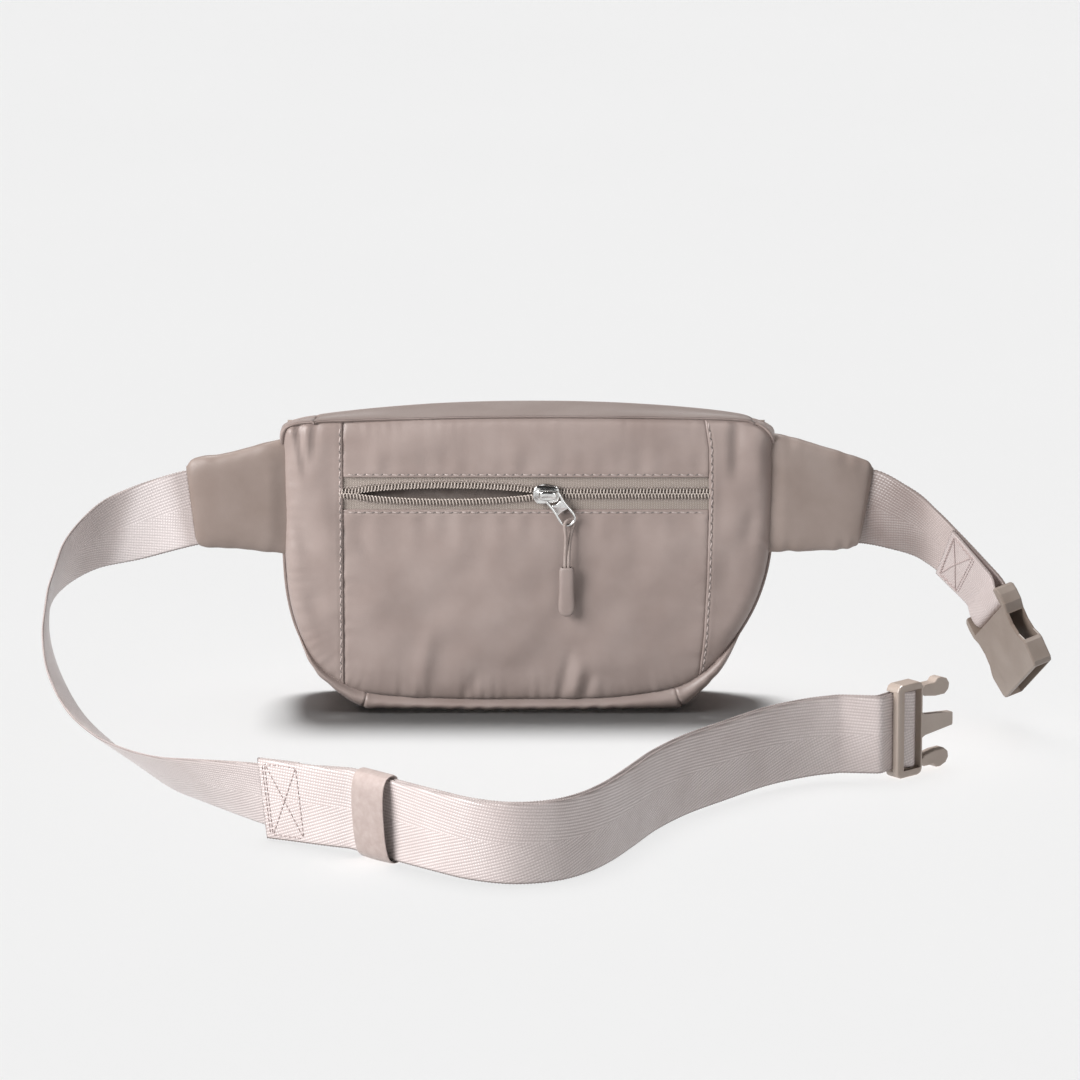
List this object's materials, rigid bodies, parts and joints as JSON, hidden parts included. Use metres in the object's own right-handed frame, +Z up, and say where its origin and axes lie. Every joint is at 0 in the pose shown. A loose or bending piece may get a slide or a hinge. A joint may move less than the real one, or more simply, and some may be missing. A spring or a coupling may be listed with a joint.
{
  "type": "money belt",
  "caption": "Soft D-shaped zipped belt bag with padded wings, a looped webbing belt with keeper and a side-release buckle.",
  "frame": {"origin": "centre of the flat face of the bottom gusset, where the bag stands", "axes": "+X along the belt, towards the female buckle; +Y from the back (wearer's) panel to the front panel; +Z up"},
  "size_m": [0.4902, 0.3492, 0.1508],
  "materials": {
    "satin_nylon": "taupe plain-weave nylon with a satin sheen",
    "lining": "thin matt lining cloth",
    "zip_tape": "woven zip tape",
    "zip_coil": "moulded nylon coil teeth",
    "nickel": "bright nickel-plated zinc",
    "pull_cord": "braided polyester cord",
    "grip_rubber": "soft moulded rubber",
    "foam": "closed-cell foam sheet",
    "webbing": "chevron-twill nylon webbing with a satin sheen",
    "keeper_ribbon": "satin nylon ribbon",
    "buckle_plastic": "satin moulded acetal"
  },
  "bodies": {
    "root": {"back_panel_lower": "satin_nylon", "back_panel_upper": "satin_nylon", "back_panel_left": "satin_nylon", "back_panel_right": "satin_nylon", "front_panel_lower": "satin_nylon", "front_panel_upper": "satin_nylon", "top_gusset": "satin_nylon", "bottom_gusset": "satin_nylon", "left_gusset": "satin_nylon", "right_gusset": "satin_nylon", "back_pocket_lining": "lining", "main_lining": "lining", "back_zip_tape_lower": "zip_tape", "back_zip_tape_upper": "zip_tape", "back_zip_coil_lower": "zip_coil", "back_zip_coil_upper": "zip_coil", "main_zip_tape_lower": "zip_tape", "main_zip_tape_upper": "zip_tape", "main_zip_coil_lower": "zip_coil", "main_zip_coil_upper": "zip_coil"},
    "back_slider": {"back_slider": "nickel"},
    "back_pull_tab": {"back_pull_tab": "nickel"},
    "back_pull_grip": {"back_pull_cord": "pull_cord", "back_pull_grip": "grip_rubber"},
    "main_slider": {"main_slider": "nickel"},
    "main_pull_tab": {"main_pull_tab": "nickel"},
    "main_pull_grip": {"main_pull_cord": "pull_cord", "main_pull_grip": "grip_rubber"},
    "left_wing": {"left_wing_cover": "satin_nylon", "left_wing_foam": "foam", "long_strap": "webbing", "strap_tail": "webbing"},
    "strap_keeper": {"strap_keeper": "keeper_ribbon"},
    "male_buckle": {"male_buckle_frame": "buckle_plastic"},
    "male_arm_upper": {"male_arm_upper": "buckle_plastic"},
    "male_arm_lower": {"male_arm_lower": "buckle_plastic"},
    "right_wing": {"right_wing_cover": "satin_nylon", "right_wing_foam": "foam", "right_strap": "webbing"},
    "female_buckle": {"female_buckle": "buckle_plastic"}
  },
  "joints": [
    {"name": "back_zip_slide", "type": "slide", "parent": "root", "child": "back_slider", "axis": [1, 0, 0], "range_m": [-0.092, 0.072]},
    {"name": "back_tab_swing", "type": "hinge", "parent": "back_slider", "child": "back_pull_tab", "pos_m": [0.0122, -0.02575, 0.1118], "axis": [0, 1, 0], "range_deg": [-50, 0]},
    {"name": "back_grip_swing", "type": "hinge", "parent": "back_pull_tab", "child": "back_pull_grip", "pos_m": [0.02115, -0.02575, 0.09902], "axis": [0, 1, 0], "range_deg": [-25, 25]},
    {"name": "main_zip_slide", "type": "slide", "parent": "root", "child": "main_slider", "axis": [1, 0, 0], "range_m": [-0.006, 0.19]},
    {"name": "main_tab_swing", "type": "hinge", "parent": "main_slider", "child": "main_pull_tab", "pos_m": [-0.0943, 0.02575, 0.124], "axis": [0, 1, 0], "range_deg": [0, 50]},
    {"name": "main_grip_swing", "type": "hinge", "parent": "main_pull_tab", "child": "main_pull_grip", "pos_m": [-0.10325, 0.02575, 0.11122], "axis": [0, 1, 0], "range_deg": [-25, 25]},
    {"name": "left_wing_fold", "type": "hinge", "parent": "root", "child": "left_wing", "pos_m": [-0.1278, -0.0155, 0.108], "axis": [0, 0, 1], "range_deg": [-14, 9]},
    {"name": "keeper_slide", "type": "slide", "parent": "left_wing", "child": "strap_keeper", "axis": [0.7341, -0.679, 0], "range_m": [-0.006, 0.024]},
    {"name": "male_buckle_swivel", "type": "hinge", "parent": "left_wing", "child": "male_buckle", "pos_m": [0.18294, -0.13301, 0.0234], "axis": [0, 0, 1], "range_deg": [-3, 25]},
    {"name": "male_arm_upper_flex", "type": "hinge", "parent": "male_buckle", "child": "male_arm_upper", "pos_m": [0.18902, -0.12915, 0.0409], "axis": [-0.6691, 0.7431, 0], "range_deg": [0, 8], "stiffness_Nm_per_rad": 0.3},
    {"name": "male_arm_lower_flex", "type": "hinge", "parent": "male_buckle", "child": "male_arm_lower", "pos_m": [0.18902, -0.12915, 0.0059], "axis": [0.6691, -0.7431, 0], "range_deg": [0, 8], "stiffness_Nm_per_rad": 0.3},
    {"name": "right_wing_fold", "type": "hinge", "parent": "root", "child": "right_wing", "pos_m": [0.1298, -0.0155, 0.11], "axis": [0, 0, 1], "range_deg": [-20, 14]},
    {"name": "female_buckle_swivel", "type": "hinge", "parent": "right_wing", "child": "female_buckle", "pos_m": [0.228, -0.0463, 0.06093], "axis": [0.2625, -0.7767, 0.5726], "range_deg": [-20, 20]}
  ]
}
